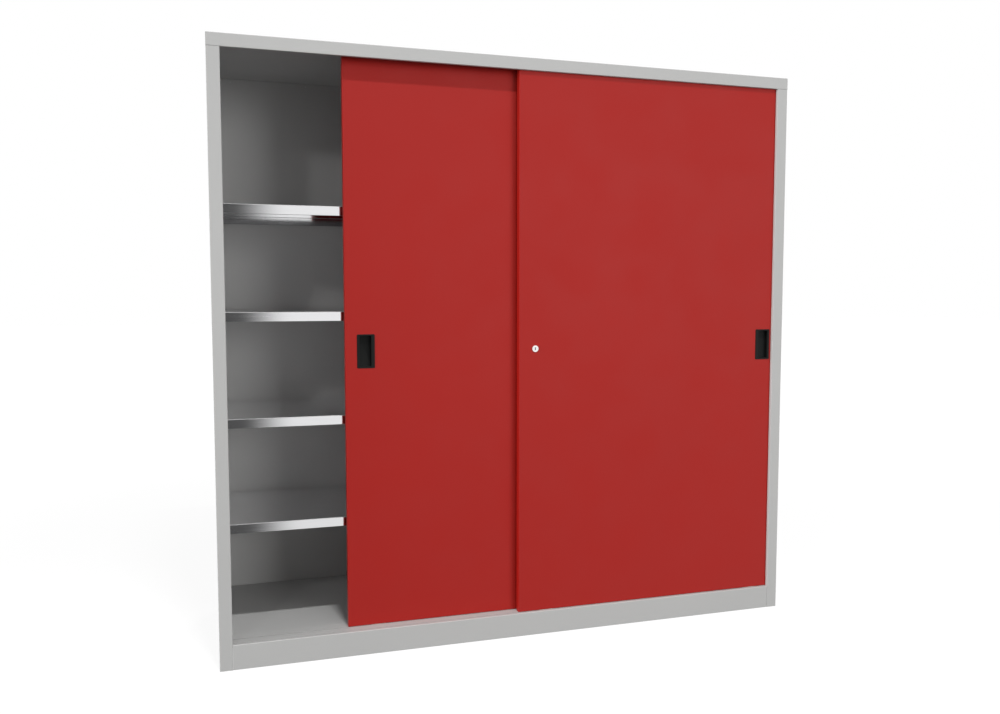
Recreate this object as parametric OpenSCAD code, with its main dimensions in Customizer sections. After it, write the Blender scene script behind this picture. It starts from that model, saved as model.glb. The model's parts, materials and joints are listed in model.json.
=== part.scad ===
// Steel cabinet with two sliding doors that hang from a twin top track.
// Frame: X along the width, Y from front to back, Z up, origin on the floor at the middle.
// Depths are measured from the front plane of the frame; at(depth) turns them into Y.

/* [Cabinet] */
// Overall width
cab_w = 2000; // [1600:10:2400]
// Overall height
cab_h = 1950; // [1750:10:2200]
// Overall depth, with the screw heads at the back
cab_d = 600; // [480:10:800]

/* [Sheet metal] */
// Thickness of the carcass and door sheet
sheet_t = 1; // [0.8:0.1:1.3]
// Outside radius of a fold
fold_r = 2; // [1.6:0.1:3]
// Open seam between two sheets that butt
seam = 0.4; // [0.2:0.1:0.8]
// Width of the fixing flanges at the back, top and base
flange_w = 25; // [18:1:32]

/* [Front frame] */
// Width of the upright stiles
stile_w = 40; // [34:1:60]
// Depth of the returns round the door opening
return_d = 10; // [8:0.5:14]
// Width of the hem behind the returns
hem_w = 8; // [5:0.5:12]
// Height of the fascia over the doors
fascia_h = 40; // [36:1:50]
// Height of the plinth, which is the level of the floor
plinth_h = 80; // [60:1:120]
// Depth of the plinth's foot
plinth_foot = 24; // [16:1:40]

/* [Doors] */
// Thickness of a door
door_d = 25; // [25:1:32]
// Clear gap between the two doors
doors_gap = 10; // [10:0.5:16]
// Clear gap between the front frame and the front door
frame_gap = 1; // [0.8:0.1:3]
// Clear gap between a door and the floor
floor_gap = 1; // [0.6:0.1:4]
// Clear gap between a door at its stop and the side panel
side_gap = 8; // [4:0.5:15]
// How far the closed doors overlap in the middle
overlap = 34; // [20:1:48]
// Width of the lips folded in behind a door
door_lip = 15; // [10:1:22]
// How far the left door stands open
left_open = 397; // [0:1:900]
// Width of the stiffener's crown down the middle of a door
rib_w = 50; // [30:1:90]
// Width of each flange of the stiffener
rib_flange = 15; // [8:1:25]
// Gap between the stiffener and the door's lips
rib_gap = 1; // [0.5:0.1:3]

/* [Top track] */
// Wall of the track
track_t = 1.5; // [1.2:0.1:2]
// Inside width of one channel
channel_w = 24; // [23:0.5:26]
// Slot between the two lips of a channel
slot_w = 9; // [7:0.5:9.5]
// Number of rivets that hold the track
rivet_count = 7; // [3:1:11]
// Radius of a rivet's shank
rivet_r = 1.6; // [1.2:0.1:2]

/* [Rollers] */
// Radius of a wheel's tread
wheel_r = 8; // [7:0.1:9]
// Width of a wheel's tread
wheel_w = 5; // [4:0.1:5.2]
// Radius of a wheel's hub
hub_r = 4.5; // [4:0.1:5]
// Radius of the axle
axle_r = 2.5; // [2:0.1:3]
// Thickness of the axle's heads
axle_head_h = 1.1; // [0.8:0.1:1.4]
// Running clearance between a wheel and its axle
axle_fit = 0.05; // [0.02:0.01:0.1]
// Running gap under and beside a wheel
run_gap = 0.3; // [0.2:0.05:0.6]
// Room to lift a door off the track
lift = 2; // [1:0.1:4]
// Distance of a hanger from the end of its door
hanger_inset = 120; // [60:1:300]
// Thickness of a hanger's upright
hanger_t = 4; // [3:0.1:5]
// Width of a hanger's upright
hanger_w = 12; // [10:0.5:14]
// Length of a hanger's foot
foot_l = 46; // [42:1:80]
// Width of a hanger's foot
foot_w = 18; // [14:1:20]
// Thickness of a hanger's foot
foot_t = 2.5; // [2:0.1:3]
// Gap between a door's top and the track
hang_gap = 6.5; // [6:0.1:9]
// Radius of a hanger screw
screw_r = 2; // [1.5:0.1:2.5]

/* [Bottom guides] */
// Sheet of the guide rail
rail_t = 1; // [0.8:0.1:1.2]
// How far the guide rail reaches behind the rear door
rail_margin = 11; // [6:0.5:20]
// Thickness of a guide's blade
blade_t = 2.5; // [2:0.1:4]
// Clearance on each side of a blade
blade_gap = 0.4; // [0.3:0.05:0.8]
// How far a blade reaches below the floor
blade_depth = 10; // [6:0.5:16]
// Clear room under a blade
blade_room = 2; // [1:0.1:4]
// Length of a guide shoe
shoe_l = 50; // [30:1:90]
// Depth of a guide shoe
shoe_d = 16; // [10:0.5:18]
// Height of a guide shoe
shoe_h = 12; // [8:0.5:20]
// Distance of a guide shoe from the end of its door
shoe_inset = 100; // [50:1:300]

/* [Shelves] */
// Number of shelves in each bay
shelf_count = 4; // [1:1:4]
// Thickness of the shelf sheet
shelf_t = 1; // [0.8:0.1:1.3]
// Height of a shelf's folded edge
shelf_h = 30; // [22:1:40]
// Width of the lip folded in under a shelf
shelf_lip = 12; // [8:1:20]
// Distance of a shelf's front edge behind the front frame
shelf_front = 100; // [90:1:160]
// Gap between a shelf's back edge and the back panel
shelf_back_gap = 2; // [1:0.5:6]
// Gap between a shelf's end and its racks
shelf_gap = 1.5; // [0.8:0.1:4]
// Number of rack slots under the lowest shelf
low_slot_count = 15; // [4:1:18]
// Number of rack slots from one shelf to the next
step_slot_count = 17; // [8:1:18]

/* [Racks and clips] */
// Sheet of a rack
rack_t = 1.2; // [1:0.1:1.5]
// How far a rack stands out from its wall
rack_d = 10; // [8:0.5:16]
// Width of a rack's face
rack_w = 24; // [18:1:36]
// Width of each flange of a rack
rack_flange = 9; // [6:1:16]
// Distance of a rack from the front or back edge of a shelf
rack_inset = 60; // [40:1:120]
// Gap between a rack's foot and the floor
rack_foot = 5; // [2:1:20]
// Gap between a rack's head and the top
rack_head = 60; // [40:1:120]
// Height of the lowest slot above the floor
slot_base = 25; // [15:1:40]
// Pitch of the slots
slot_pitch = 20; // [16:1:22]
// Height of a slot
slot_h = 4; // [3:0.1:6]
// Length of a slot
slot_l = 12; // [8:0.5:14]
// Sheet of a shelf clip
clip_t = 2; // [1.5:0.1:2.5]
// How far a clip reaches under its shelf
clip_reach = 18; // [12:1:26]
// Play of a clip in its slot
clip_play = 0.5; // [0.3:0.1:1]
// Length of a clip's leg on the rack and of its hook behind it
clip_leg = 9; // [6:0.5:12]

/* [Partition and base] */
// Width of the partition between the two bays
part_w = 30; // [24:1:50]
// Gap between the guide rail and the partition
part_gap = 3; // [1:0.5:10]
// Opening down the back of the partition
part_slot = 12; // [8:0.5:16]
// Height of the floor panel's folded edge
floor_edge = 30; // [20:1:45]
// Width of the cross member under the floor
cross_w = 60; // [40:1:100]
// Clear gap between the cross member and the edges of the floor panel
cross_gap = 8; // [4:1:20]
// Depth of the seam flanges where the back panels meet
seam_flange = 15; // [10:1:25]
// Gap between the floor and the side panels
inner_gap = 0.8; // [0.5:0.1:3]

/* [Handles] */
// Width of a handle's frame
handle_w = 58; // [48:1:70]
// Height of a handle's frame
handle_h = 110; // [80:1:140]
// Distance from a door's end to the handle's frame
handle_inset = 37.5; // [24:0.5:80]
// Height of the handles and the lock above the base
handle_z = 989; // [700:1:1200]
// How far a handle's frame stands proud of the door
handle_proud = 1.5; // [1:0.1:2.5]
// Corner radius of a handle's frame
handle_r = 3; // [1:0.5:6]
// Depth of the recess behind the door's face
cup_depth = 16; // [10:0.5:18]
// Wall of the cup
cup_wall = 2; // [1.5:0.1:2.5]
// Frame on the side towards the door's end
frame_near = 8; // [5:0.5:12]
// Frame on the side that the fingers pull
frame_far = 12; // [6:0.5:14]
// Frame above and below the recess
frame_end = 5; // [4:0.5:12]
// How far the recess runs under the frame that the fingers pull
undercut = 6; // [2:0.5:7]
// Thickness of that frame over the undercut
grip_t = 3; // [2:0.1:4]
// Clearance of a cup in the door
cup_fit = 0.3; // [0.1:0.05:0.6]

/* [Lock] */
// Distance of the lock from the left edge of the right door
lock_inset = 57.5; // [54:0.5:80]
// Radius of the rosette
rosette_r = 11.5; // [10.5:0.1:14]
// Height of the rosette
rosette_h = 3; // [2:0.1:5]
// Radius of the barrel
barrel_r = 9.5; // [8:0.1:10]
// Length of the barrel behind the door's face
barrel_l = 22; // [16:0.5:23]
// Radius of the plug
plug_r = 6; // [5.5:0.1:7]
// Running clearance of the plug in its barrel
plug_fit = 0.05; // [0.02:0.01:0.1]
// Width of the key slot
key_w = 3; // [1.6:0.1:3.4]
// Height of the key slot
key_h = 9.4; // [6:0.1:10]
// Depth of the key slot
key_depth = 12; // [8:0.5:15]
// Width across the corners of the nut
nut_w = 27; // [25:0.5:32]
// Thickness of the nut
nut_h = 4; // [3:0.1:6]
// Radius of the plug's spigot in the cam
spigot_r = 4; // [3.5:0.1:4.5]
// Thickness of the cam
cam_t = 2; // [1.5:0.1:2.5]
// Width of the cam's arm
cam_w = 12; // [10:0.5:14]
// Width of the hook at the cam's end
hook_w = 15; // [10:0.5:18]
// Gap between the door and the cam
cam_gap = 0.7; // [0.4:0.1:1.2]
// Radius of the head of the cam's screw
cam_head_r = 5; // [4.8:0.1:6]
// Radius of the cam's screw
cam_screw_r = 2; // [1.5:0.1:2.5]
// Play of the locked doors
lock_play = 1.5; // [0.8:0.1:3]
// Height of the keeper
keeper_h = 20; // [14:1:30]
// Sheet of the keeper
keeper_t = 1.5; // [1:0.1:2]
// Length of the keeper's foot on the door
keeper_l = 26; // [14:1:40]

/* [Fasteners] */
// Height of the screw heads at the back
head_h = 2; // [1.5:0.1:3]
// Radius of the screw heads at the back
head_r = 4; // [3:0.1:5]
// Radius of the screws at the back
tap_r = 1.9; // [1.5:0.1:2.2]
// Clearance round fixed screws and rivets in their holes
hole_fit = 0.1; // [0.05:0.05:0.3]
// Number of screws up each side of the back
side_screws = 7; // [3:1:12]
// Number of screws along the top of the back, on each side of the middle
top_screws = 4; // [2:1:6]
// Radius of the rubber buffers
buffer_r = 7; // [4:0.5:9]
// Distance of the buffers from the top and bottom of the doors
buffer_inset = 200; // [60:5:500]
// Gap between a buffer and a door at its stop
buffer_gap = 0.4; // [0.3:0.1:1]

/* [Hidden] */
$fn = 48;
cut = 1;

half_w = cab_w / 2;
inner_x = half_w - sheet_t;
rear_face = cab_d - head_h;
back_out = rear_face - sheet_t;
back_in = back_out - sheet_t;
top_in = cab_h - sheet_t;
stile_top = cab_h - fascia_h - seam;

// Door levels, from the track downwards
axle_z = top_in - track_t - lift - wheel_r;
lip_z = axle_z - wheel_r - run_gap;
door_top = lip_z - track_t - hang_gap;
door_low = plinth_h + floor_gap;
door_h = door_top - door_low;

// Door places along the width and the depth
stop_x = inner_x - side_gap;
door_w = stop_x + overlap / 2;
left_x = left_open - stop_x;
right_x = stop_x - door_w;
front_face = return_d + frame_gap;
rear_door_face = front_face + door_d + doors_gap;
faces = [front_face, rear_door_face];
mids = [for (f = faces) f + door_d / 2];

// Guide blades stand just behind the fold of the door's face
blade_in = fold_r + blade_gap;
groove_w = blade_t + 2 * blade_gap;
groove_depth = blade_depth + blade_room;
rail_front = return_d + seam;
rail_back = rear_door_face + door_d + rail_margin;

// Bays, racks and shelves
part_front = rail_back + part_gap;
inner_back = back_out - fold_r - seam;
shelf_back = back_in - shelf_back_gap;
rack_low = plinth_h + rack_foot;
rack_high = top_in - rack_head;
slot_zero = plinth_h + slot_base;
slot_count = floor((rack_high - slot_zero - slot_pitch) / slot_pitch);
rack_depths = [shelf_front + rack_inset, shelf_back - rack_inset];
bay_outer = inner_x - rack_d - shelf_gap;
bay_inner = part_w / 2 + rack_d + shelf_gap;
function clip_z(i) = slot_zero + slot_pitch * (low_slot_count + step_slot_count * i);
function shelf_z(i) = clip_z(i) + clip_t + shelf_h;

// Track and rollers
track_l = 2 * (half_w - flange_w - 2 * seam);
tread_in = slot_w / 2 + run_gap;
tread_out = tread_in + wheel_w;
hub_in = hanger_t / 2 + run_gap;
rivet_head_r = rivet_r * 1.8;
rivet_head_h = rivet_r * 0.8;
axle_head_r = axle_r * 1.5;
hanger_ends = [hanger_inset, door_w - hanger_inset];
shoe_ends = [shoe_inset, door_w - shoe_inset];
hanger_screw_x = (foot_l + hanger_w) / 4;

// Lock: the hook of the cam stops the keeper of the left door
lock_x = right_x + lock_inset;
hook_reach = lock_inset - overlap - lock_play;
cam_l = hook_reach + keeper_h;
keeper_z = handle_z + hook_reach + lock_play;
door_back = front_face + door_d;
cam_front = door_back + cam_gap;
keeper_front = door_back + doors_gap / 10;

GREY = [0.72, 0.73, 0.72];
RED = [0.66, 0.2, 0.19];
ZINC = [0.78, 0.79, 0.8];
BLACK = [0.1, 0.1, 0.1];
NYLON = [0.88, 0.87, 0.82];
CHROME = [0.9, 0.9, 0.9];
RUBBER = [0.15, 0.15, 0.15];

DOOR_PIECES = ["panel", "stiffener", "handle", "hangers", "axles", "fasteners", "guides",
               "roller_1", "roller_2"];

function at(depth) = depth - cab_d / 2;
function spread(low, high, n) = [for (i = [0:n - 1]) low + (high - low) * i / (n - 1)];

// Shared shapes

// Extrudes a depth-by-height outline along X, centred
module along_x(length) {
    rotate([90, 0, 90])
        translate([0, 0, -length / 2])
            linear_extrude(length) children();
}

// Extrudes a width-by-height outline along Y, from zero backwards
module along_y(length) {
    rotate([90, 0, 0])
        translate([0, 0, -length])
            linear_extrude(length) children();
}

// Round bar along Y
module rod_y(r, length) {
    rotate([-90, 0, 0]) cylinder(r = r, h = length);
}

// Rectangle between two corners with all corners rounded
module round_rect(low, high, r) {
    size = high - low;
    translate(low + [r, 0]) square([size.x - 2 * r, size.y]);
    translate(low + [0, r]) square([size.x, size.y - 2 * r]);
    for (x = [low.x + r, high.x - r], y = [low.y + r, high.y - r])
        translate([x, y]) circle(r);
}

// Rectangle between two corners
module rect(low, high) {
    translate(low) square(high - low);
}

// Outline of a folded tube of sheet, to be opened by cuts
module sheet_loop(low, high, t = sheet_t) {
    difference() {
        round_rect(low, high, fold_r);
        round_rect(low + [t, t], high - [t, t], fold_r - t);
    }
}

// Outline with only its two upper corners rounded, hanging below zero
module crown(w, h, r) {
    rect([-w / 2, -h], [w / 2, -r]);
    rect([r - w / 2, -r], [w / 2 - r, 0]);
    for (side = [-1, 1])
        translate([side * (w / 2 - r), -r]) circle(r);
}

// Block whose upper edges are all rounded
module crowned_block(w, d, h, r) {
    intersection() {
        along_y(d) crown(w, h, r);
        along_x(w) translate([d / 2, 0]) crown(d, h, r);
    }
}

// Sheet folded down on four sides, with a lip folded in under each side
module folded_tray(w, d, h, t, lip) {
    difference() {
        crowned_block(w, d, h, fold_r);
        translate([0, t, -t])
            crowned_block(w - 2 * t, d - 2 * t, h - 2 * t, fold_r - t);
        translate([t + lip - w / 2, t + lip, -h - cut])
            cube([w - 2 * (t + lip), d - 2 * (t + lip), h]);
    }
}

// Carcass

// Places of the screws that hold the back panels, as [x, z]
back_screw_places = concat(
    [for (side = [-1, 1], z = spread(buffer_inset, top_in - buffer_inset, side_screws))
        [side * (half_w - flange_w / 2), z]],
    [for (side = [-1, 1], x = spread(half_w / 8, half_w - 3 * flange_w, top_screws))
        [side * x, cab_h - flange_w / 2]]
);

module back_screw_holes() {
    for (p = back_screw_places)
        translate([p.x, at(back_in) - cut, p[1]])
            rod_y(tap_r + hole_fit, head_h + 2 * sheet_t + cut);
}

// Left panel: web, stile with its return and hem, and three fixing flanges
module side_panel() {
    difference() {
        union() {
            linear_extrude(top_in) difference() {
                union() {
                    sheet_loop([-half_w, at(0)], [stile_w - half_w, at(rear_face)]);
                    rect([stile_w - half_w - hem_w, at(return_d - sheet_t)],
                         [stile_w - half_w, at(return_d)]);
                }
                rect([stile_w - half_w - fold_r, at(return_d)],
                     [stile_w - half_w + cut, at(cab_d)]);
                rect([flange_w - half_w, at(return_d)], [stile_w - half_w, at(cab_d)]);
            }
            for (z = [0, top_in - sheet_t])
                translate([-half_w + sheet_t / 2, at(return_d + fold_r), z])
                    cube([flange_w - sheet_t / 2, back_in - return_d - 2 * fold_r, sheet_t]);
        }
        translate([-half_w - cut, at(-cut), stile_top])
            cube([stile_w, cut + sheet_t + seam, cab_h]);
        translate([-inner_x, at(-cut), stile_top])
            cube([stile_w, return_d + 2 * cut, cab_h]);
        back_screw_holes();
    }
}

module left_side_panel() {
    color(GREY) side_panel();
}

module right_side_panel() {
    color(GREY) mirror([1, 0, 0]) side_panel();
}

// Top sheet with the fascia, its return and hem, and the rear flange
module top_panel() {
    web_gap = inner_x - seam / 2;
    color(GREY) difference() {
        along_x(cab_w) difference() {
            union() {
                sheet_loop([at(0), cab_h - fascia_h], [at(rear_face), cab_h]);
                rect([at(return_d - sheet_t), cab_h - fascia_h],
                     [at(return_d), cab_h - fascia_h + hem_w]);
            }
            rect([at(return_d), cab_h - fascia_h - cut], [at(cab_d), cab_h - flange_w]);
        }
        for (side = [-1, 1]) {
            translate([side * (web_gap + cab_w / 2), at(sheet_t + cab_d / 2), top_in - cab_h / 2])
                cube([cab_w, cab_d, cab_h], center = true);
            translate([side * (half_w - flange_w - seam + cab_w / 2), at(back_out - fold_r + cab_d / 2),
                       top_in - cab_h / 2])
                cube([cab_w, cab_d, cab_h], center = true);
        }
        back_screw_holes();
        rivet_holes();
    }
}

module plinth() {
    color(GREY) along_x(cab_w - 2 * (stile_w + seam)) difference() {
        sheet_loop([at(0), 0], [at(plinth_foot + 2 * fold_r), plinth_h]);
        rect([at(return_d), plinth_h - 2 * fold_r], [at(cab_d), plinth_h + cut]);
        rect([at(plinth_foot), -cut], [at(cab_d), plinth_h]);
    }
}

module floor_panel() {
    color(GREY) translate([0, at(rail_back), plinth_h])
        folded_tray(2 * (inner_x - inner_gap), inner_back - rail_back, floor_edge, sheet_t, shelf_lip);
}

// Left back panel, turned forwards along the middle of the cabinet down to the floor
module back_panel() {
    outer = half_w - fold_r - seam;
    difference() {
        linear_extrude(cab_h - fold_r - seam) difference() {
            sheet_loop([-half_w - fold_r, at(back_out - seam_flange)], [-seam / 2, at(back_out)]);
            rect([-half_w - 2 * fold_r, at(0)], [-outer, at(cab_d)]);
            rect([-half_w, at(0)], [-seam / 2 - sheet_t, at(back_in - fold_r + sheet_t)]);
            rect([-half_w, at(0)], [cut, at(back_out - seam_flange + fold_r)]);
        }
        translate([-half_w, at(0), -cut])
            cube([cab_w, inner_back + seam / 2, plinth_h + seam + cut]);
        back_screw_holes();
    }
}

module back_panel_left() {
    color(GREY) back_panel();
}

module back_panel_right() {
    color(GREY) mirror([1, 0, 0]) back_panel();
}

module back_screws() {
    color(ZINC) for (p = back_screw_places)
        translate([p.x, at(rear_face), p[1]]) {
            rod_y(head_r, head_h);
            translate([0, -2.5 * sheet_t, 0]) rod_y(tap_r, 2.5 * sheet_t);
        }
}

// Hollow wall between the bays; its open back takes the seam of the back panels
module centre_partition() {
    color(GREY) translate([0, 0, plinth_h]) linear_extrude(top_in - plinth_h) difference() {
        sheet_loop([-part_w / 2, at(part_front)], [part_w / 2, at(inner_back)]);
        rect([-part_slot / 2, at(inner_back - fold_r)], [part_slot / 2, at(cab_d)]);
    }
}

// Channel that carries the floor under the partition
module base_crossmember() {
    front = rail_back + sheet_t + shelf_lip + cross_gap;
    back = inner_back - sheet_t - shelf_lip - cross_gap;
    color(GREY) translate([0, at(front), 0]) along_y(back - front) difference() {
        sheet_loop([-cross_w / 2, 0], [cross_w / 2, plinth_h - sheet_t]);
        rect([flange_w / 2 - cross_w / 2, -cut], [cross_w / 2 - flange_w / 2, fold_r]);
    }
}

// Track and guide rail

rivet_places = spread(-track_l / 2 + flange_w, track_l / 2 - flange_w, rivet_count);
rivet_depth = (mids[0] + mids[1]) / 2;

module rivet_holes() {
    for (x = rivet_places)
        translate([x, at(rivet_depth), top_in - track_t - cut])
            cylinder(r = rivet_r + hole_fit, h = track_t + sheet_t + 2 * cut);
}

// Two slotted channels under one web
module top_track() {
    color(ZINC) difference() {
        along_x(track_l) difference() {
            union() {
                rect([at(mids[0]), top_in - track_t], [at(mids[1]), top_in]);
                for (m = mids)
                    rect([at(m - channel_w / 2 - track_t), lip_z - track_t],
                         [at(m + channel_w / 2 + track_t), top_in]);
            }
            for (m = mids) {
                rect([at(m - channel_w / 2), lip_z], [at(m + channel_w / 2), top_in - track_t]);
                rect([at(m - slot_w / 2), lip_z - track_t - cut], [at(m + slot_w / 2), lip_z + cut]);
            }
        }
        rivet_holes();
    }
}

module track_rivets() {
    color(ZINC) for (x = rivet_places)
        translate([x, at(rivet_depth), top_in - track_t]) {
            translate([0, 0, -rivet_head_h]) cylinder(r = rivet_head_r, h = rivet_head_h);
            cylinder(r = rivet_r, h = track_t + sheet_t - hole_fit);
        }
}

// Flat strip behind the plinth with a groove under each door's face
module bottom_rail() {
    groove_low = plinth_h - groove_depth;
    color(GREY) along_x(2 * (inner_x - inner_gap)) difference() {
        union() {
            rect([at(rail_front), plinth_h - rail_t], [at(rail_back), plinth_h]);
            for (f = faces)
                rect([at(f + blade_in - blade_gap - rail_t), groove_low - rail_t],
                     [at(f + blade_in - blade_gap + groove_w + rail_t), plinth_h]);
        }
        for (f = faces)
            rect([at(f + blade_in - blade_gap), groove_low],
                 [at(f + blade_in - blade_gap + groove_w), plinth_h + cut]);
    }
}

// Racks, shelves and clips

// Hat section on a wall at x = 0, standing out along +X, with a row of slots
module rack() {
    difference() {
        translate([0, 0, rack_low]) linear_extrude(rack_high - rack_low) difference() {
            union() {
                rect([0, -rack_w / 2], [rack_d, rack_w / 2]);
                rect([0, -rack_w / 2 - rack_flange], [rack_t, rack_w / 2 + rack_flange]);
            }
            rect([-cut, rack_t - rack_w / 2], [rack_d - rack_t, rack_w / 2 - rack_t]);
        }
        for (i = [0:slot_count - 1])
            translate([rack_d - 2 * rack_t, -slot_l / 2, slot_zero + i * slot_pitch])
                cube([3 * rack_t, slot_l, slot_h]);
    }
}

// A front and a back rack on the wall at x, facing +X or -X
module rack_pair(x, facing) {
    color(ZINC) for (d = rack_depths)
        translate([x, at(d), 0])
            mirror([facing < 0 ? 1 : 0, 0, 0]) rack();
}

// Bracket hooked into a rack's slot: ledge, leg on the face and hook behind it
module clip() {
    hook_x = rack_d - rack_t - clip_play;
    translate([0, clip_play - slot_l / 2, 0]) along_y(slot_l - 2 * clip_play) {
        rect([hook_x - clip_t, 0], [rack_d + clip_reach, clip_t]);
        rect([hook_x - clip_t, 0], [hook_x, clip_leg]);
        rect([rack_d, -clip_leg], [rack_d + clip_t, clip_t]);
    }
}

module bay_clips() {
    color(ZINC) for (i = [0:shelf_count - 1], d = rack_depths) {
        translate([-inner_x, at(d), clip_z(i)]) clip();
        translate([-part_w / 2, at(d), clip_z(i)]) mirror([1, 0, 0]) clip();
    }
}

// Shelf of the left bay
module shelf(i) {
    color(ZINC) translate([-(bay_outer + bay_inner) / 2, at(shelf_front), shelf_z(i)])
        folded_tray(bay_outer - bay_inner, shelf_back - shelf_front, shelf_h, shelf_t, shelf_lip);
}

module door_buffers() {
    reach = side_gap - buffer_gap;
    color(RUBBER)
    for (side = [-1, 1], m = mids, z = [door_low + buffer_inset, door_top - buffer_inset])
        translate([side * (inner_x - reach / 2), at(m), z]) rotate([0, 90, 0])
            cylinder(r = buffer_r, h = reach, center = true);
}

// Doors: x is measured from the door's left edge, f is the depth of its face

module door_at(x, f) {
    translate([x, at(f), 0]) children();
}

// Handle places: the left door pulls at its left end, the right door at its right end
module at_handle(side) {
    if (side == "left")
        translate([handle_inset, 0, handle_z]) children();
    else
        translate([door_w - handle_inset, 0, handle_z]) mirror([1, 0, 0]) children();
}

mouth_w = handle_w - frame_near - frame_far;
mouth_h = handle_h - 2 * frame_end;
cup_low = frame_near - cup_wall;
cup_high = frame_near + mouth_w + undercut + cup_wall;
cup_half = mouth_h / 2 + cup_wall;

module door_panel(side) {
    color(RED) difference() {
        translate([door_w / 2, 0, door_low]) rotate([90, 0, 0])
            folded_tray(door_w, door_h, door_d, sheet_t, door_lip);
        at_handle(side)
            translate([cup_low - cup_fit, -cut, -cup_half - cup_fit])
                cube([cup_high - cup_low + 2 * cup_fit, sheet_t + 2 * cut, 2 * (cup_half + cup_fit)]);
        for (x = shoe_ends)
            translate([x - shoe_l / 2, blade_in - blade_gap, door_low - cut])
                cube([shoe_l, groove_w, sheet_t + 2 * cut]);
        for (x = hanger_ends, s = [-1, 1])
            translate([x + s * hanger_screw_x, door_d / 2, door_top - sheet_t - cut])
                cylinder(r = screw_r + hole_fit, h = sheet_t + 2 * cut);
        if (side == "right")
            translate([lock_inset, -cut, handle_z]) rod_y(barrel_r + hole_fit, sheet_t + 2 * cut);
    }
}

// Hat section down the middle, seated on the back of the door's face
module door_stiffener() {
    crown_d = door_d - 2 * sheet_t - rib_gap;
    low = door_low + sheet_t + rib_gap;
    color(RED) translate([door_w / 2, sheet_t, low])
        linear_extrude(door_h - 2 * (sheet_t + rib_gap)) difference() {
            union() {
                rect([-rib_w / 2, 0], [rib_w / 2, crown_d]);
                rect([-rib_w / 2 - rib_flange, 0], [rib_w / 2 + rib_flange, sheet_t]);
            }
            rect([sheet_t - rib_w / 2, -cut], [rib_w / 2 - sheet_t, crown_d - sheet_t]);
        }
}

// Recessed cup with a frame on the door's face and an undercut for the fingers
module door_handle(side) {
    half = handle_h / 2;
    color(BLACK) at_handle(side) difference() {
        union() {
            translate([0, -handle_proud, 0]) along_y(handle_proud)
                round_rect([0, -half], [handle_w, half], handle_r);
            translate([cup_low, 0, -cup_half])
                cube([cup_high - cup_low, cup_depth + cup_wall, 2 * cup_half]);
        }
        translate([frame_near, -handle_proud - cut, -mouth_h / 2])
            cube([mouth_w, handle_proud + cup_depth + cut, mouth_h]);
        translate([frame_near, grip_t - handle_proud, -mouth_h / 2])
            cube([mouth_w + undercut, cup_depth + handle_proud - grip_t, mouth_h]);
    }
}

// Foot on the door's top and an upright that carries the axle
module door_hangers() {
    color(ZINC) for (x = hanger_ends)
        translate([x, door_d / 2, 0]) difference() {
            union() {
                translate([-foot_l / 2, -foot_w / 2, door_top]) cube([foot_l, foot_w, foot_t]);
                translate([0, -hanger_t / 2, 0]) along_y(hanger_t) {
                    rect([-hanger_w / 2, door_top], [hanger_w / 2, axle_z]);
                    translate([0, axle_z]) circle(hanger_w / 2);
                }
            }
            translate([0, -hanger_t, axle_z]) rod_y(axle_r + hole_fit / 2, 2 * hanger_t);
            for (s = [-1, 1])
                translate([s * hanger_screw_x, 0, door_top - cut])
                    cylinder(r = screw_r + hole_fit, h = foot_t + 2 * cut);
        }
}

// Axle with a head outside each wheel
module door_axles() {
    reach = tread_out + run_gap;
    color(ZINC) for (x = hanger_ends)
        translate([x, door_d / 2, axle_z]) {
            translate([0, -reach, 0]) rod_y(axle_r, 2 * reach);
            for (y = [-reach - axle_head_h, reach])
                translate([0, y, 0]) rod_y(axle_head_r, axle_head_h);
        }
}

// Two wheels on one axle, each with a hub against the hanger and a chamfered tread
module door_roller(x) {
    bore = axle_r + axle_fit;
    edge = wheel_w / 10;
    color(NYLON) translate([x, door_d / 2, axle_z])
        for (side = [0, 1])
            mirror([0, side, 0]) rotate([-90, 0, 0]) rotate_extrude() polygon([
                [bore, hub_in], [hub_r, hub_in], [hub_r, tread_in], [wheel_r - edge, tread_in],
                [wheel_r, tread_in + edge], [wheel_r, tread_out - edge],
                [wheel_r - edge, tread_out], [bore, tread_out]]);
}

// Screws through the hangers' feet, with their nuts inside the door
module door_fasteners() {
    head = 1.8 * screw_r;
    grip = foot_t + sheet_t;
    nut = 1.6 * screw_r;
    color(ZINC) for (x = hanger_ends, s = [-1, 1])
        translate([x + s * hanger_screw_x, door_d / 2, door_top + foot_t]) {
            cylinder(r = head, h = screw_r);
            translate([0, 0, -grip - 2 * nut]) cylinder(r = screw_r, h = grip + 2 * nut);
            translate([0, 0, -grip - nut]) difference() {
                cylinder(r = 2 * screw_r, h = nut, $fn = 6);
                translate([0, 0, -cut]) cylinder(r = screw_r + hole_fit / 2, h = nut + 2 * cut);
            }
        }
}

// Nylon shoes on the door's bottom fold, with a blade down into the groove
module door_guides() {
    base = door_low + sheet_t;
    color(NYLON) for (x = shoe_ends) {
        translate([x - shoe_l / 2, blade_in, base]) cube([shoe_l, shoe_d, shoe_h]);
        translate([x - shoe_l / 2 + blade_gap, blade_in, plinth_h - blade_depth])
            cube([shoe_l - 2 * blade_gap, blade_t, base + shoe_h / 2 - plinth_h + blade_depth]);
    }
}

// Lock

module at_lock(depth) {
    translate([lock_x, at(depth), handle_z]) children();
}

module lock_barrel() {
    color(CHROME) difference() {
        union() {
            at_lock(front_face - rosette_h) rod_y(rosette_r, rosette_h);
            at_lock(front_face) rod_y(barrel_r, barrel_l);
        }
        at_lock(front_face - rosette_h - cut) rod_y(plug_r + plug_fit, rosette_h + barrel_l + 2 * cut);
    }
}

module lock_nut() {
    color(ZINC) difference() {
        at_lock(front_face + sheet_t) rotate([-90, 0, 0]) cylinder(d = nut_w, h = nut_h, $fn = 6);
        at_lock(front_face) rod_y(barrel_r + hole_fit / 2, nut_h + 2 * sheet_t);
    }
}

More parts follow.
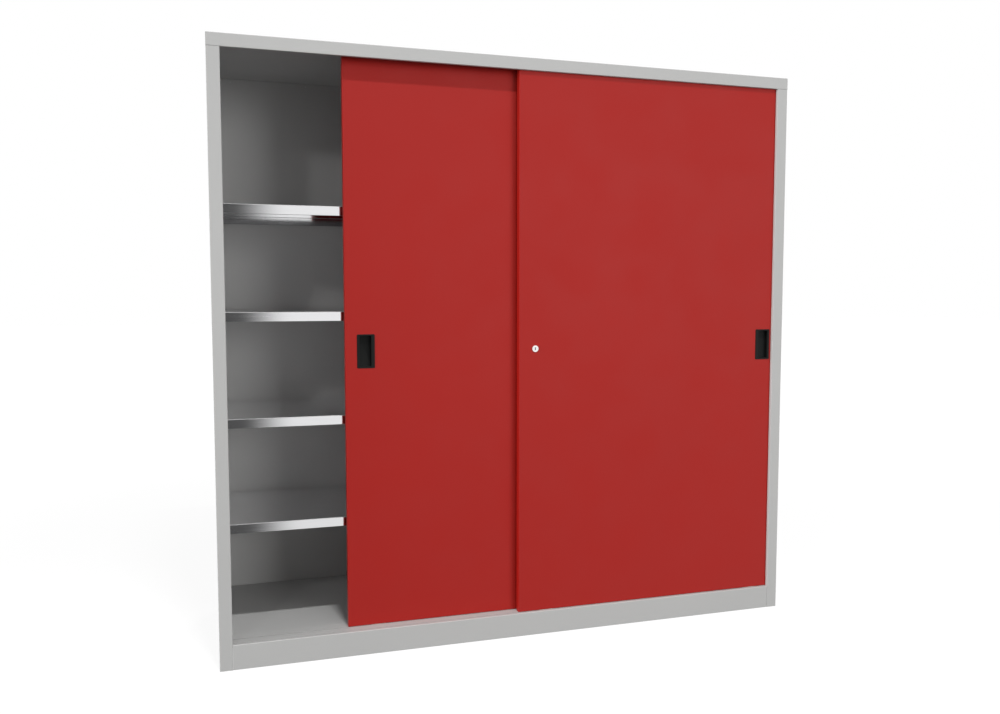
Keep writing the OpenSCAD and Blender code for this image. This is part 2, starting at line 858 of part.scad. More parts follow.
// Turning plug with its key slot, and a spigot for the cam
module lock_plug() {
    front = front_face - rosette_h;
    color(CHROME) difference() {
        union() {
            at_lock(front) rod_y(plug_r, cam_front - front);
            at_lock(cam_front) rod_y(spigot_r, cam_t);
        }
        at_lock(front) translate([-key_w / 2, -cut, -key_h / 2]) cube([key_w, key_depth + cut, key_h]);
        at_lock(cam_front - cam_screw_r * 4) rod_y(cam_screw_r + hole_fit / 2, cam_screw_r * 4 + cam_t + cut);
    }
}

// Hooked arm behind the door, lying to the right while unlocked
module lock_cam() {
    color(ZINC) at_lock(cam_front) along_y(cam_t) difference() {
        union() {
            circle(1.5 * plug_r);
            rect([0, -cam_w / 2], [cam_l, cam_w / 2]);
            rect([cam_l - hook_w, 0], [cam_l, hook_reach]);
        }
        circle(spigot_r + hole_fit / 2);
    }
}

module lock_cam_screw() {
    color(ZINC) {
        at_lock(cam_front + cam_t) rod_y(cam_head_r, cam_screw_r);
        at_lock(cam_front - cam_screw_r * 3) rod_y(cam_screw_r, cam_screw_r * 3 + cam_t);
    }
}

// Angle on the left door's face, which the hook of the locked cam stops
module lock_keeper() {
    color(ZINC) translate([left_x + door_w, 0, keeper_z]) {
        translate([-keeper_l, at(rear_door_face - keeper_t), 0]) cube([keeper_l, keeper_t, keeper_h]);
        translate([-keeper_t, at(keeper_front), 0])
            cube([keeper_t, rear_door_face - keeper_front, keeper_h]);
    }
}

left_side_panel();
right_side_panel();
top_panel();
plinth();
floor_panel();
back_panel_left();
back_panel_right();
back_screws();
centre_partition();
base_crossmember();
top_track();
track_rivets();
bottom_rail();
rack_pair(-inner_x, 1);  // left_wall_racks
rack_pair(-part_w / 2, -1);  // partition_left_racks
rack_pair(part_w / 2, 1);  // partition_right_racks
rack_pair(inner_x, -1);  // right_wall_racks
bay_clips();  // left_shelf_clips
mirror([1, 0, 0]) bay_clips();  // right_shelf_clips
door_buffers();
for (i = [0:shelf_count - 1]) {
    shelf(i);
    mirror([1, 0, 0]) shelf(i);
}
for (door = [["left", left_x, rear_door_face], ["right", right_x, front_face]])
    door_at(door[1], door[2]) {
        door_panel(door[0]);
        door_stiffener();
        door_handle(door[0]);
        door_hangers();
        door_axles();
        door_fasteners();
        door_guides();
        for (i = [0, 1])
            door_roller(hanger_ends[i]);
    }
lock_keeper();
lock_barrel();
lock_nut();
lock_plug();
lock_cam();
lock_cam_screw();
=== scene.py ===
import json
import math

import bmesh
import bpy
from mathutils import Matrix, Vector


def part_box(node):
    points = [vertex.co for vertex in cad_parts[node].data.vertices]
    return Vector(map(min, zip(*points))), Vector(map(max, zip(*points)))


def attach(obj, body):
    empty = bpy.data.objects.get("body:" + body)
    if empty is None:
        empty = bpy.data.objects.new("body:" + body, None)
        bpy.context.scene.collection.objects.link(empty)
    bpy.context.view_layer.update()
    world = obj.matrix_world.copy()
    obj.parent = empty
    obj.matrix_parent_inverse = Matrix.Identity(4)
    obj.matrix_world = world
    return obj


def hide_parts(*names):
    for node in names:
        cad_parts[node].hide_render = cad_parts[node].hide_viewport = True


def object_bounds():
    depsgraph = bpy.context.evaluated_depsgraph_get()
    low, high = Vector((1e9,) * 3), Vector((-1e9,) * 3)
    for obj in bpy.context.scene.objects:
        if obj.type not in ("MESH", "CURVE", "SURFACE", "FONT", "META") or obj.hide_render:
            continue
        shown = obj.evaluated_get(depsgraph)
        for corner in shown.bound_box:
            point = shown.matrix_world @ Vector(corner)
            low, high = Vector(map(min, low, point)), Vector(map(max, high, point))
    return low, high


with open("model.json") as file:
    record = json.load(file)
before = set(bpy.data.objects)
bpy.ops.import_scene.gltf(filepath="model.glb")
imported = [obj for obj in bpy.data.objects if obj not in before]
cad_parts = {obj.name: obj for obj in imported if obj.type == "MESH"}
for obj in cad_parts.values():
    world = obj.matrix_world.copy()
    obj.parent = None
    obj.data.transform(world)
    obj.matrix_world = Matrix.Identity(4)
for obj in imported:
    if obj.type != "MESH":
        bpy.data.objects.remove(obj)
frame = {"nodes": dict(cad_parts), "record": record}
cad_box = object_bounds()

# Sizes in metres, colours linear, angles in degrees
MM = 0.001

# Colours of the finishes
GREY = (0.452, 0.452, 0.446)
RED = (0.333, 0.0096, 0.0063)
# Painted highlight on the edges of the red paint
RED_EDGE_HIGHLIGHT = (0.47, 0.05, 0.04)
BRIGHT_STEEL = (0.80, 0.80, 0.81)
ZINC = (0.60, 0.61, 0.62)
CHROME = (0.94, 0.93, 0.92)
BLACK = (0.0085, 0.0092, 0.0088)
NYLON = (0.72, 0.70, 0.62)
RUBBER = (0.02, 0.02, 0.02)


def shade(colour, factor):
    """The colour made lighter or darker, with full alpha."""
    return tuple(min(1.0, c * factor) for c in colour) + (1.0,)


def grey(level):
    """A neutral colour, with full alpha."""
    return (level, level, level, 1.0)


# Node trees

FULL = (0.0, 1.0)
NOISE_MIDDLE = (0.3, 0.7)
BEVEL_SAMPLES = 4
# Cosine between the true and the rounded normal, where an edge starts and where it is full
EDGE_COSINES = (0.99, 0.75)
# Squares of the normal's Y times Z and of its Z, where bends and level faces start and where they are full
FOLD_SLANT = (0.002, 0.08)
FLAT_RISE = (0.5, 0.9)
# Numbers of the mix node's colour sockets, which share their names with its other sockets
MIX_FIRST = 6
MIX_SECOND = 7
MIX_RESULT = 2


class Nodes:
    """The node tree of a material or a world, with short ways to add to it."""

    def __init__(self, owner):
        owner.use_nodes = True
        self.tree = owner.node_tree
        self.tree.nodes.clear()

    def add(self, kind, inputs=None, **settings):
        """A node with some of its sockets and settings set."""
        node = self.tree.nodes.new(kind)
        for name, value in settings.items():
            setattr(node, name, value)
        for name, value in (inputs or {}).items():
            node.inputs[name].default_value = value
        return node

    def link(self, source, target):
        self.tree.links.new(source, target)

    def show(self, shader, kind="ShaderNodeOutputMaterial"):
        """Leads a shader to the tree's output."""
        self.link(shader, self.add(kind).inputs["Surface"])

    def place(self):
        """The place on the object, in its own metres."""
        return self.add("ShaderNodeTexCoord").outputs["Object"]

    def parts(self, vector):
        """The X, Y and Z of a vector."""
        split = self.add("ShaderNodeSeparateXYZ")
        self.link(vector, split.inputs["Vector"])
        return split.outputs

    def combine(self, operation, first, second):
        """Two values put together by a Math node."""
        node = self.add("ShaderNodeMath", operation=operation)
        self.link(first, node.inputs[0])
        self.link(second, node.inputs[1])
        return node.outputs["Value"]

    def spread(self, source, ends, over=NOISE_MIDDLE, shape="LINEAR"):
        """A value that goes from end to end as the source goes over a range."""
        limits = {"From Min": over[0], "From Max": over[1], "To Min": ends[0], "To Max": ends[1]}
        ranged = self.add("ShaderNodeMapRange", limits, interpolation_type=shape)
        self.link(source, ranged.inputs["Value"])
        return ranged.outputs["Result"]

    def mixed(self, factor, first, second):
        """Two shaders mixed by a value."""
        mix = self.add("ShaderNodeMixShader")
        self.link(factor, mix.inputs["Fac"])
        self.link(first, mix.inputs[1])
        self.link(second, mix.inputs[2])
        return mix.outputs["Shader"]

    def seen_directly(self):
        """A value that is 1 for camera, glossy and transmission rays."""
        rays = self.add("ShaderNodeLightPath").outputs
        total = rays["Is Camera Ray"]
        for name in ("Is Glossy Ray", "Is Transmission Ray"):
            total = self.combine("MAXIMUM", total, rays[name])
        return total


class Finish(Nodes):
    """A material with one main shader."""

    def __init__(self, name):
        self.material = bpy.data.materials.new(name)
        super().__init__(self.material)
        self.shader = self.add("ShaderNodeBsdfPrincipled")
        self.show(self.shader.outputs["BSDF"])

    def constant(self, socket, value):
        """Sets a socket of the main shader."""
        self.shader.inputs[socket].default_value = value

    def feed(self, socket, source):
        """Leads a node's output to a socket of the main shader."""
        self.link(source, self.shader.inputs[socket])

    def noise(self, scale, detail=2.0, stretch=(1.0, 1.0, 1.0)):
        """Noise over the object's own metres, stretched along its axes."""
        mapping = self.add("ShaderNodeMapping", {"Scale": stretch})
        self.link(self.place(), mapping.inputs["Vector"])
        noise = self.add("ShaderNodeTexNoise", {"Scale": scale, "Detail": detail})
        self.link(mapping.outputs["Vector"], noise.inputs["Vector"])
        return noise.outputs["Fac"]

    def blend(self, factor, first, second):
        """A colour that goes from first to second with the factor."""
        mix = self.add("ShaderNodeMix", data_type="RGBA")
        self.link(factor, mix.inputs["Factor"])
        for number, colour in ((MIX_FIRST, first), (MIX_SECOND, second)):
            if isinstance(colour, tuple):
                mix.inputs[number].default_value = colour
            else:
                self.link(colour, mix.inputs[number])
        return mix.outputs[MIX_RESULT]

    def shades(self, factor, colour, limits):
        """The colour between a darker and a lighter shade of itself."""
        dark, light = limits
        return self.blend(factor, shade(colour, dark), shade(colour, light))

    def edges(self, radius):
        """A mask that is 1 on the edges and 0 on the flats."""
        bevel = self.add("ShaderNodeBevel", {"Radius": radius}, samples=BEVEL_SAMPLES)
        geometry = self.add("ShaderNodeNewGeometry")
        cosine = self.add("ShaderNodeVectorMath", operation="DOT_PRODUCT")
        self.link(bevel.outputs["Normal"], cosine.inputs[0])
        self.link(geometry.outputs["Normal"], cosine.inputs[1])
        return self.spread(cosine.outputs["Value"], FULL, EDGE_COSINES)

    def folds_and_flats(self):
        """Masks that are 1 on the bends along the width, and 1 on the level faces."""
        normal = self.parts(self.add("ShaderNodeNewGeometry").outputs["True Normal"])
        slant = self.combine("MULTIPLY", normal["Y"], normal["Z"])
        folds = self.spread(self.combine("MULTIPLY", slant, slant), FULL, FOLD_SLANT)
        rise = self.combine("MULTIPLY", normal["Z"], normal["Z"])
        return folds, self.spread(rise, FULL, FLAT_RISE)

    def bumps(self, height, strength, distance):
        """Small bumps on the surface, from the height of a noise."""
        bump = self.add("ShaderNodeBump", {"Strength": strength, "Distance": distance})
        self.link(height, bump.inputs["Height"])
        self.feed("Normal", bump.outputs["Normal"])


# Powder coat

# Scales of its noises, per metre
COAT_CLOUDS = 2.2
COAT_PATCHES = 35.0
COAT_HAZE = 9.0
COAT_PEEL = 750.0
# What the noises change, from end to end
COAT_SHADES = (0.97, 1.03)
# Share of the painted edge highlight, in patches along the edges
COAT_EDGE_HIGHLIGHT = (0.0, 0.55)
COAT_ROUGHNESS = (0.40, 0.48)
COAT_EDGE = 1.6 * MM
COAT_SHINE = 0.38
COAT_PEEL_STRENGTH = 0.10
COAT_PEEL_HEIGHT = 0.15 * MM


def powder_coat(name, colour, edge_highlight_colour):
    """Satin paint with a fine orange peel, and a painted highlight in patches along the edges."""
    finish = Finish(name)
    body = finish.shades(finish.noise(COAT_CLOUDS, detail=3.0), colour, COAT_SHADES)
    patches = finish.spread(finish.noise(COAT_PATCHES), COAT_EDGE_HIGHLIGHT)
    edge_highlight = finish.combine("MULTIPLY", finish.edges(COAT_EDGE), patches)
    finish.feed("Base Color", finish.blend(edge_highlight, body, edge_highlight_colour))
    finish.feed("Roughness", finish.spread(finish.noise(COAT_HAZE), COAT_ROUGHNESS))
    finish.constant("Specular IOR Level", COAT_SHINE)
    finish.bumps(finish.noise(COAT_PEEL), COAT_PEEL_STRENGTH, COAT_PEEL_HEIGHT)
    return finish.material


# Bright steel of the shelves

SHEET_STREAKS = 4.0
SHEET_STRETCH = (0.5, 60.0, 60.0)
SHEET_SHADES = (0.96, 1.03)
SHEET_ROUGHNESS = (0.05, 0.09)
# Painted light: level faces made lighter, so that they throw more light into the bays
FLAT_PAINTED_LIGHT = 1.2
# Painted shade: folds made darker, which dims their lamp highlights
FOLD_PAINTED_SHADE = 0.6
FOLD_DULLING = (0.0, 0.6)


def rolled_steel(name):
    """Bare sheet with faint streaks along its rolling, painted light on level faces, painted shade and
    more roughness on folds.
    """
    finish = Finish(name)
    finish.constant("Metallic", 1.0)
    streaks = finish.noise(SHEET_STREAKS, detail=5.0, stretch=SHEET_STRETCH)
    folds, flats = finish.folds_and_flats()
    sheet = finish.shades(streaks, BRIGHT_STEEL, SHEET_SHADES)
    sheet = finish.blend(flats, sheet, shade(BRIGHT_STEEL, FLAT_PAINTED_LIGHT))
    finish.feed("Base Color", finish.blend(folds, sheet, shade(BRIGHT_STEEL, FOLD_PAINTED_SHADE)))
    dulling = finish.spread(folds, FOLD_DULLING, FULL)
    finish.feed("Roughness", finish.combine("ADD", finish.spread(streaks, SHEET_ROUGHNESS), dulling))
    return finish.material


# Zinc plate of the fittings

ZINC_GRAIN = 160.0
ZINC_SHADES = (0.88, 1.1)
ZINC_ROUGHNESS = (0.26, 0.38)
ZINC_GRAIN_STRENGTH = 0.04
ZINC_GRAIN_HEIGHT = 0.08 * MM


def zinc_plate(name):
    """Zinc plated steel with a faint patchy grain."""
    finish = Finish(name)
    finish.constant("Metallic", 1.0)
    grain = finish.noise(ZINC_GRAIN, detail=3.0)
    finish.feed("Base Color", finish.shades(grain, ZINC, ZINC_SHADES))
    finish.feed("Roughness", finish.spread(grain, ZINC_ROUGHNESS))
    finish.bumps(grain, ZINC_GRAIN_STRENGTH, ZINC_GRAIN_HEIGHT)
    return finish.material


# Chrome of the lock

CHROME_HAZE = 420.0
CHROME_SHADES = (0.96, 1.03)
CHROME_ROUGHNESS = (0.10, 0.18)


def chrome_plate(name):
    """Polished plate with fine wear."""
    finish = Finish(name)
    finish.constant("Metallic", 1.0)
    haze = finish.noise(CHROME_HAZE, detail=4.0)
    finish.feed("Base Color", finish.shades(haze, CHROME, CHROME_SHADES))
    finish.feed("Roughness", finish.spread(haze, CHROME_ROUGHNESS))
    return finish.material


# Plastics and rubber

PLASTIC_SHADES = (0.9, 1.1)
# Painted highlight along the edges: its width, its shade of the colour, and its share
PLASTIC_EDGE = 0.8 * MM
PLASTIC_EDGE_HIGHLIGHT = 1.5
PLASTIC_HIGHLIGHT_SHARE = (0.0, 0.5)
PLASTIC_GRAIN_STRENGTH = 0.12
PLASTIC_GRAIN_HEIGHT = 0.08 * MM


def moulded_plastic(name, colour, grain, roughness, shine=0.5):
    """Moulded plastic with a fine grain and a faint painted highlight along the edges."""
    finish = Finish(name)
    grains = finish.noise(grain)
    body = finish.shades(grains, colour, PLASTIC_SHADES)
    edge_highlight = finish.spread(finish.edges(PLASTIC_EDGE), PLASTIC_HIGHLIGHT_SHARE, FULL)
    finish.feed("Base Color", finish.blend(edge_highlight, body, shade(colour, PLASTIC_EDGE_HIGHLIGHT)))
    finish.constant("Specular IOR Level", shine)
    finish.feed("Roughness", finish.spread(grains, roughness))
    finish.bumps(grains, PLASTIC_GRAIN_STRENGTH, PLASTIC_GRAIN_HEIGHT)
    return finish.material


# Painted highlight on the edges of the grey paint, as a shade of the grey
GREY_EDGE_HIGHLIGHT_SHADE = 1.12
FINISHES = {
    "grey_paint": powder_coat("grey_paint", GREY, shade(GREY, GREY_EDGE_HIGHLIGHT_SHADE)),
    "red_paint": powder_coat("red_paint", RED, shade(RED_EDGE_HIGHLIGHT, 1.0)),
    "bright_steel": rolled_steel("bright_steel"),
    "zinc_steel": zinc_plate("zinc_steel"),
    "chrome": chrome_plate("chrome"),
    "black_plastic": moulded_plastic("black_plastic", BLACK, grain=1400.0, roughness=(0.42, 0.54),
                                     shine=0.14),
    "nylon": moulded_plastic("nylon", NYLON, grain=600.0, roughness=(0.42, 0.55)),
    "rubber": moulded_plastic("rubber", RUBBER, grain=900.0, roughness=(0.7, 0.85)),
}


def dress(target, material):
    """Gives an object one material."""
    target.data.materials.clear()
    target.data.materials.append(material)


def dress_nodes():
    """Every CAD node takes the finish of its slot in the record."""
    for subpart in frame["record"]["subparts"]:
        dress(frame["nodes"][subpart["node"]], FINISHES[subpart["material_slot"]])


# Making of meshes

SMOOTH_ANGLE = 32.0
CORNER_STEPS = 6
TURN_STEPS = 48


def mesh_object(name, bm):
    """An object in the scene from a bmesh, which is used up."""
    mesh = bpy.data.meshes.new(name)
    bm.to_mesh(mesh)
    bm.free()
    made = bpy.data.objects.new(name, mesh)
    bpy.context.scene.collection.objects.link(made)
    return made


def new_piece(name, bm, body, slot, replaced=None):
    """A finished piece from a bmesh: smoothed, dressed and riding on its body."""
    bmesh.ops.recalc_face_normals(bm, faces=bm.faces)
    piece = mesh_object(name, bm)
    piece.data.shade_smooth()
    piece.data.set_sharp_from_angle(angle=math.radians(SMOOTH_ANGLE))
    dress(piece, FINISHES[slot])
    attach(piece, body)
    if replaced:
        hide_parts(replaced)


def bridge(bm, first, second):
    """Quads between two rings with the same number of points."""
    count = len(first)
    for i in range(count):
        j = (i + 1) % count
        bm.faces.new((first[i], first[j], second[j], second[i]))


def skin(bm, rings, closed=False):
    """Quads from ring to ring, with a face on both ends unless the last ring meets the first."""
    for first, second in zip(rings, rings[1:]):
        bridge(bm, first, second)
    if closed:
        bridge(bm, rings[-1], rings[0])
    else:
        bm.faces.new(rings[0])
        bm.faces.new(rings[-1])


def round_ring(left, right, half, radius):
    """Points of a rounded rectangle, as (across, up)."""
    corners = ((right - radius, half - radius, 0), (left + radius, half - radius, 90),
               (left + radius, radius - half, 180), (right - radius, radius - half, 270))
    points = []
    for across, up, start in corners:
        for step in range(CORNER_STEPS + 1):
            angle = math.radians(start + 90 * step / CORNER_STEPS)
            points.append((across + radius * math.cos(angle), up + radius * math.sin(angle)))
    return points


def ringed(sections, edge, sense, face, middle):
    """Skin over rounded rings, which count from an edge along +X or -X and from a face along +Y."""
    bm = bmesh.new()
    rings = []
    for left, right, half, radius, depth in sections:
        rings.append([bm.verts.new((edge + sense * across * MM, face + depth * MM, middle + up * MM))
                      for across, up in round_ring(left, right, half, radius)])
    skin(bm, rings)
    return bm


def turned(bm, profile, place, axis, closed=False):
    """Turns (radius, reach) points about an axis through a place."""
    turn = Vector((0, 0, 1)).rotation_difference(Vector(axis)).to_matrix()
    rings = []
    for radius, reach in profile:
        ring = []
        for step in range(TURN_STEPS):
            angle = math.tau * step / TURN_STEPS
            local = Vector((radius * math.cos(angle), radius * math.sin(angle), reach)) * MM
            ring.append(bm.verts.new(Vector(place) + turn @ local))
        rings.append(ring)
    skin(bm, rings, closed)


# Recessed pulls

# Rings of a pull, from the floor of the recess over the frame to the bottom of the cup, in mm:
# left edge, right edge, half height, corner radius, depth behind the door's face
PULL_RINGS = (
    (10.5, 49.5, 47.5, 1.5, 16.0),
    (8.8, 51.2, 49.2, 2.5, 15.3),
    (8.0, 52.0, 50.0, 3.0, 13.5),
    (8.0, 52.0, 50.0, 3.0, 2.2),
    (8.0, 51.4, 50.0, 3.0, 1.6),
    (8.0, 46.9, 50.0, 3.0, 1.5),
    (8.0, 46.2, 50.0, 3.0, 1.1),
    (8.0, 46.0, 50.0, 3.0, 0.5),
    (7.9, 46.1, 50.1, 3.0, -0.7),
    (7.6, 46.4, 50.4, 3.2, -1.25),
    (7.0, 47.0, 51.0, 3.6, -1.5),
    (0.9, 57.1, 54.1, 2.2, -1.5),
    (0.3, 57.7, 54.7, 2.7, -1.3),
    (0.0, 58.0, 55.0, 3.0, -0.8),
    (0.0, 58.0, 55.0, 3.0, 0.0),
    (6.0, 54.0, 52.0, 1.0, 0.0),
    (6.0, 54.0, 52.0, 1.0, 17.4),
    (6.6, 53.4, 51.4, 1.0, 18.0),
)
PULL_FRAME_HEIGHT = 1.5 * MM


def door_pull(side, mirrored):
    """Black cup with a rounded frame and an undercut grip."""
    node = f"{side}_door_handle"
    low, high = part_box(node)
    edge, sense = (high.x, -1) if mirrored else (low.x, 1)
    bm = ringed(PULL_RINGS, edge, sense, low.y + PULL_FRAME_HEIGHT, (low.z + high.z) / 2)
    new_piece(f"{side}_pull", bm, f"{side}_door", "black_plastic", node)


# Lock

# Section of the rosette and the barrel: radius and reach in front of the door, in mm
ROSETTE_SECTION = ((6.05, -22.0), (6.05, 2.6), (6.35, 3.0), (8.7, 3.0), (8.9, 2.8),
                   (9.2, 2.8), (9.4, 3.0), (10.5, 3.0), (11.1, 2.8), (11.4, 2.35),
                   (11.5, 1.8), (11.5, 0.0), (9.5, 0.0), (9.5, -22.0))
ROSETTE_HEIGHT = 3.0 * MM
# Rings of the dust shutter in the key slot, from its slit to its back, in mm:
# left edge, right edge, half height, corner radius, depth behind the plug's face
SHUTTER_RINGS = (
    (-0.3, 0.3, 3.4, 0.3, 1.9),
    (-0.3, 0.3, 3.4, 0.3, 1.0),
    (-1.1, 1.1, 4.3, 0.3, 0.8),
    (-1.4, 1.4, 4.6, 0.4, 1.1),
    (-1.4, 1.4, 4.6, 0.4, 6.0),
)


def lock_rosette():
    """Bright rosette with a rounded edge and a turned groove."""
    low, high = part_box("lock_barrel")
    place = ((low.x + high.x) / 2, low.y + ROSETTE_HEIGHT, (low.z + high.z) / 2)
    bm = bmesh.new()
    turned(bm, ROSETTE_SECTION, place, (0, -1, 0), closed=True)
    new_piece("lock_rosette", bm, "right_door", "chrome", "lock_barrel")


def key_shutter():
    """Dark shutter with a slit that closes the key slot against dust."""
    low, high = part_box("lock_plug")
    middle = (low + high) / 2
    bm = ringed(SHUTTER_RINGS, middle.x, 1, low.y, middle.z)
    new_piece("key_shutter", bm, "lock_core", "black_plastic")


# Screws of the back

# Section of a pan head screw: radius and reach behind the panel, in mm
PAN_SECTION = ((1.9, -2.5), (1.9, 0.0), (4.0, 0.0), (4.0, 0.5), (3.75, 1.2), (3.1, 1.75), (2.2, 2.0))
PAN_HEIGHT = PAN_SECTION[-1][1]
# Cross recess in the head, in mm
CROSS_ARM = 2.0
CROSS_HALF_WIDTH = 0.45
CROSS_DEPTH = 1.1
# Places of the screws
SIDE_SCREW_COUNT = 7
TOP_SCREW_COUNT = 4
FLANGE = 25 * MM
SHEET = 1 * MM
SIDE_SCREW_INSET = 200 * MM
TOP_SCREW_INSET = 3 * FLANGE
# First top screw from the middle, as a share of half the width
TOP_SCREW_START = 1 / 8


def cross_cutter():
    """Plus-shaped prism that cuts the recess of a screw's head."""
    a, w = CROSS_ARM, CROSS_HALF_WIDTH
    outline = ((a, -w), (a, w), (w, w), (w, a), (-w, a), (-w, w),
               (-a, w), (-a, -w), (-w, -w), (-w, -a), (w, -a), (w, -w))
    bm = bmesh.new()
    skin(bm, [[bm.verts.new(Vector((x, y, z)) * MM) for x, y in outline]
              for z in (PAN_HEIGHT - CROSS_DEPTH, PAN_HEIGHT + CROSS_DEPTH)])
    bmesh.ops.recalc_face_normals(bm, faces=bm.faces)
    return bm


def crossed_screw():
    """Mesh of one pan head screw along +Z, with its cross recess cut."""
    bm = bmesh.new()
    turned(bm, PAN_SECTION, (0, 0, 0), (0, 0, 1))
    bmesh.ops.recalc_face_normals(bm, faces=bm.faces)
    screw = mesh_object("screw_blank", bm)
    cutter = mesh_object("screw_cutter", cross_cutter())
    cut = screw.modifiers.new("recess", "BOOLEAN")
    cut.operation = "DIFFERENCE"
    cut.object = cutter
    graph = bpy.context.evaluated_depsgraph_get()
    mesh = bpy.data.meshes.new_from_object(screw.evaluated_get(graph))
    bpy.data.objects.remove(screw)
    bpy.data.objects.remove(cutter)
    return mesh


def spread_places(low, high, count):
    """Evenly spaced places from low to high."""
    return [low + (high - low) * i / (count - 1) for i in range(count)]


def back_screw_heads():
    """Screws along the sides and the top of the back."""
    half, back, top = cad_box[1]
    heights = spread_places(SIDE_SCREW_INSET, top - SHEET - SIDE_SCREW_INSET, SIDE_SCREW_COUNT)
    across = spread_places(half * TOP_SCREW_START, half - TOP_SCREW_INSET, TOP_SCREW_COUNT)
    places = [(side * (half - FLANGE / 2), z) for side in (-1, 1) for z in heights]
    places += [(side * x, top - FLANGE / 2) for side in (-1, 1) for x in across]
    screw = crossed_screw()
    backwards = Matrix.Rotation(-math.pi / 2, 4, "X")
    bm = bmesh.new()
    for x, z in places:
        one = screw.copy()
        one.transform(Matrix.Translation((x, back - PAN_HEIGHT * MM, z)) @ backwards)
        bm.from_mesh(one)
    new_piece("back_screw_heads", bm, "carcass", "zinc_steel", "back_screws")


# Rubber stops of the doors

# Section of a stop: radius and reach from the side panel, in mm
BUFFER_SECTION = ((7.0, 0.0), (7.0, 5.2), (6.7, 6.4), (5.8, 7.2), (4.4, 7.6))
BUFFER_RADIUS = BUFFER_SECTION[0][0] * MM


def rubber_buffers():
    """Domed stops on both side panels, one pair for each door."""
    low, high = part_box("door_buffers")
    bm = bmesh.new()
    for y in (low.y + BUFFER_RADIUS, high.y - BUFFER_RADIUS):
        for z in (low.z + BUFFER_RADIUS, high.z - BUFFER_RADIUS):
            turned(bm, BUFFER_SECTION, (low.x, y, z), (1, 0, 0))
            turned(bm, BUFFER_SECTION, (high.x, y, z), (-1, 0, 0))
    new_piece("rubber_buffers", bm, "carcass", "rubber", "door_buffers")


# Floor

FLOOR_SIZE = 60.0
# Its level for the light that it gives back, and as it is seen
FLOOR_BOUNCE = 0.15
FLOOR_SEEN = 0.95
# Share of glow near the cabinet, strength of the glow, and distances between which it becomes full
FLOOR_GLOW = 0.82
FLOOR_LEVEL = 1.045
FLOOR_FADE = (1.4, 5.0)


def floor_finish():
    """Pale floor that is seen white far off and keeps a faint shadow near the cabinet."""
    material = bpy.data.materials.new("studio_floor")
    nodes = Nodes(material)
    bounce = nodes.add("ShaderNodeBsdfDiffuse", {"Color": grey(FLOOR_BOUNCE)})
    pale = nodes.add("ShaderNodeBsdfDiffuse", {"Color": grey(FLOOR_SEEN)})
    glow = nodes.add("ShaderNodeEmission", {"Color": grey(1.0), "Strength": FLOOR_LEVEL})
    away = nodes.add("ShaderNodeVectorMath", operation="LENGTH")
    nodes.link(nodes.place(), away.inputs[0])
    share = nodes.spread(away.outputs["Value"], (FLOOR_GLOW, 1.0), FLOOR_FADE, "SMOOTHSTEP")
    shown = nodes.mixed(share, pale.outputs["BSDF"], glow.outputs["Emission"])
    nodes.show(nodes.mixed(nodes.seen_directly(), bounce.outputs["BSDF"], shown))
    return material


def studio_floor():
    """Level floor, which mirror images leave out."""
    bm = bmesh.new()
    bmesh.ops.create_grid(bm, x_segments=1, y_segments=1, size=FLOOR_SIZE / 2)
    floor = mesh_object("studio_floor", bm)
    floor.visible_glossy = False
    dress(floor, floor_finish())


# Cloth in front of the cabinet

FLAG_PLACE = -7.0
FLAG_LEFT = -9.0
FLAG_RIGHT = 9.0
FLAG_LOW = -8.0
FLAG_HIGH = 12.0
FLAG_TILT = -1.5
# Places across between which the dark part thins out, and its level
FLAG_FADE = (-0.80, -0.26)
FLAG_LEVEL = 0.085
# Heights between which the veil thins out, and how clear it is at the lowest
VEIL_FADE = (-1.34, 0.75)
VEIL_CLEAR = 0.90


def flag_finish():
    """Dark cloth that thins out to the right, with a faint veil low down.

    Rays that have met a matt surface pass through it.
    """
    material = bpy.data.materials.new("dark_flag")
    nodes = Nodes(material)
    place = nodes.parts(nodes.place())
    fade = nodes.spread(place["X"], FULL, FLAG_FADE, "SMOOTHSTEP")
    veil = nodes.spread(place["Z"], (VEIL_CLEAR, 1.0), VEIL_FADE, "SMOOTHSTEP")
    bounces = nodes.add("ShaderNodeLightPath").outputs["Diffuse Depth"]
    clearness = nodes.combine("MAXIMUM", nodes.combine("MULTIPLY", fade, veil), bounces)
    cloth = nodes.add("ShaderNodeEmission", {"Color": grey(1.0), "Strength": FLAG_LEVEL})
    clear = nodes.add("ShaderNodeBsdfTransparent")
    nodes.show(nodes.mixed(clearness, cloth.outputs["Emission"], clear.outputs["BSDF"]))
    return material


def dark_flag():
    """Cloth in front of the cabinet, dark on the left, which the bright sheets mirror."""
    corners = ((FLAG_LEFT, FLAG_LOW), (FLAG_RIGHT, FLAG_LOW),
               (FLAG_RIGHT, FLAG_HIGH), (FLAG_LEFT, FLAG_HIGH))
    bm = bmesh.new()
    bm.faces.new([bm.verts.new((x, FLAG_PLACE, z)) for x, z in corners])
    flag = mesh_object("dark_flag", bm)
    flag.rotation_euler = (0.0, math.radians(FLAG_TILT), 0.0)
    flag.visible_camera = False
    flag.visible_diffuse = False
    dress(flag, flag_finish())


# World and lamps

AMBIENT = 0.29
# Points that the lamps face
FRONT_MIDDLE = (0.0, -0.3, 1.0)
REAR_DOOR = (-0.4, -0.3, 1.0)
CABINET_MIDDLE = (0.0, 0.0, 1.0)
FAR_IN_FRONT = (-0.2, -8.4, 0.6)
# The fill, of which only a small part shows in mirror images
FILL_PLACE = (6.4, -12.7, 1.8)
FILL_SIZE = 6.4


def studio_world():
    """Surroundings that are seen white and give a weaker light."""
    world = bpy.data.worlds.new("studio")
    bpy.context.scene.world = world
    nodes = Nodes(world)
    light = nodes.add("ShaderNodeBackground", {"Color": grey(1.0), "Strength": AMBIENT})
    white = nodes.add("ShaderNodeBackground", {"Color": grey(1.0), "Strength": 1.0})
    shown = nodes.mixed(nodes.seen_directly(), light.outputs["Background"], white.outputs["Background"])
    nodes.show(shown, "ShaderNodeOutputWorld")


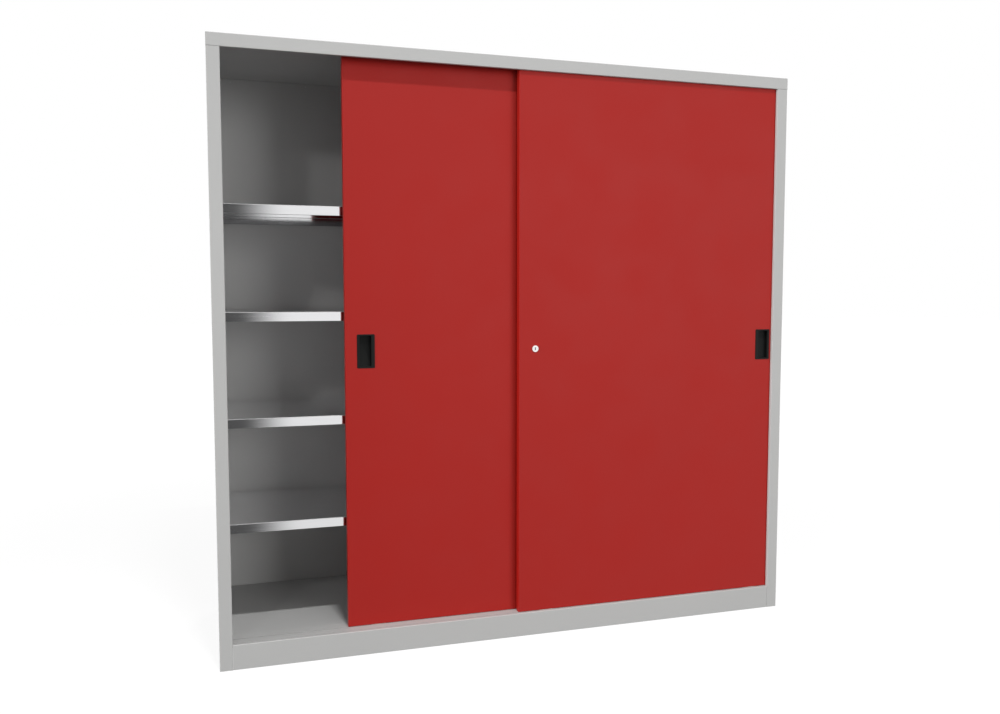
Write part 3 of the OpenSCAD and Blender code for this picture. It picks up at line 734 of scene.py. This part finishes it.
def soft_lamp(name, place, target, size, watts, mirrored=True):
    """Square lamp that faces a target and is not seen itself, apart from its mirror image."""
    data = bpy.data.lights.new(name, "AREA")
    data.shape = "SQUARE"
    data.size = size
    data.energy = watts
    lamp = bpy.data.objects.new(name, data)
    lamp.location = place
    lamp.rotation_euler = (Vector(target) - Vector(place)).to_track_quat("-Z", "Y").to_euler()
    lamp.visible_camera = False
    lamp.visible_glossy = mirrored
    bpy.context.scene.collection.objects.link(lamp)


def studio_lamps():
    """Key and side light from the left, fill from the right, and light from above and behind."""
    soft_lamp("key_lamp", place=(-2.99, -4.2, 3.34), target=FRONT_MIDDLE, size=0.35, watts=24.0)
    soft_lamp("top_lamp", place=(-0.26, -3.3, 6.1), target=FAR_IN_FRONT, size=0.7, watts=700.0)
    soft_lamp("fill_lamp", FILL_PLACE, REAR_DOOR, FILL_SIZE, watts=960.0, mirrored=False)
    soft_lamp("sheen_lamp", FILL_PLACE, REAR_DOOR, FILL_SIZE, watts=178.0)
    soft_lamp("side_lamp", place=(-20.04, -3.47, 3.13), target=FRONT_MIDDLE, size=7.0, watts=3450.0,
              mirrored=False)
    soft_lamp("back_lamp", place=(5.87, 9.87, 3.5), target=CABINET_MIDDLE, size=5.0, watts=700.0,
              mirrored=False)


# Camera, as fitted to the corners of the cabinet

CAMERA_PLACE = (-0.96115, -3.1405, 1.1808)
CAMERA_PITCH = -4.1666
CAMERA_YAW = -17.099
LENS_MM = 32.157
SENSOR_MM = 36.0


def studio_camera():
    """Camera in front of the open bay, turned to the right and slightly down."""
    data = bpy.data.cameras.new("camera")
    data.lens = LENS_MM
    data.sensor_width = SENSOR_MM
    data.sensor_fit = "HORIZONTAL"
    camera = bpy.data.objects.new("camera", data)
    camera.location = CAMERA_PLACE
    camera.rotation_euler = (math.radians(90 + CAMERA_PITCH), 0.0, math.radians(CAMERA_YAW))
    bpy.context.scene.collection.objects.link(camera)
    bpy.context.scene.camera = camera


dress_nodes()
door_pull("left", mirrored=False)
door_pull("right", mirrored=True)
lock_rosette()
key_shutter()
back_screw_heads()
rubber_buffers()

studio_floor()
dark_flag()
studio_world()
studio_lamps()
studio_camera()
bpy.context.scene.view_settings.view_transform = "Standard"
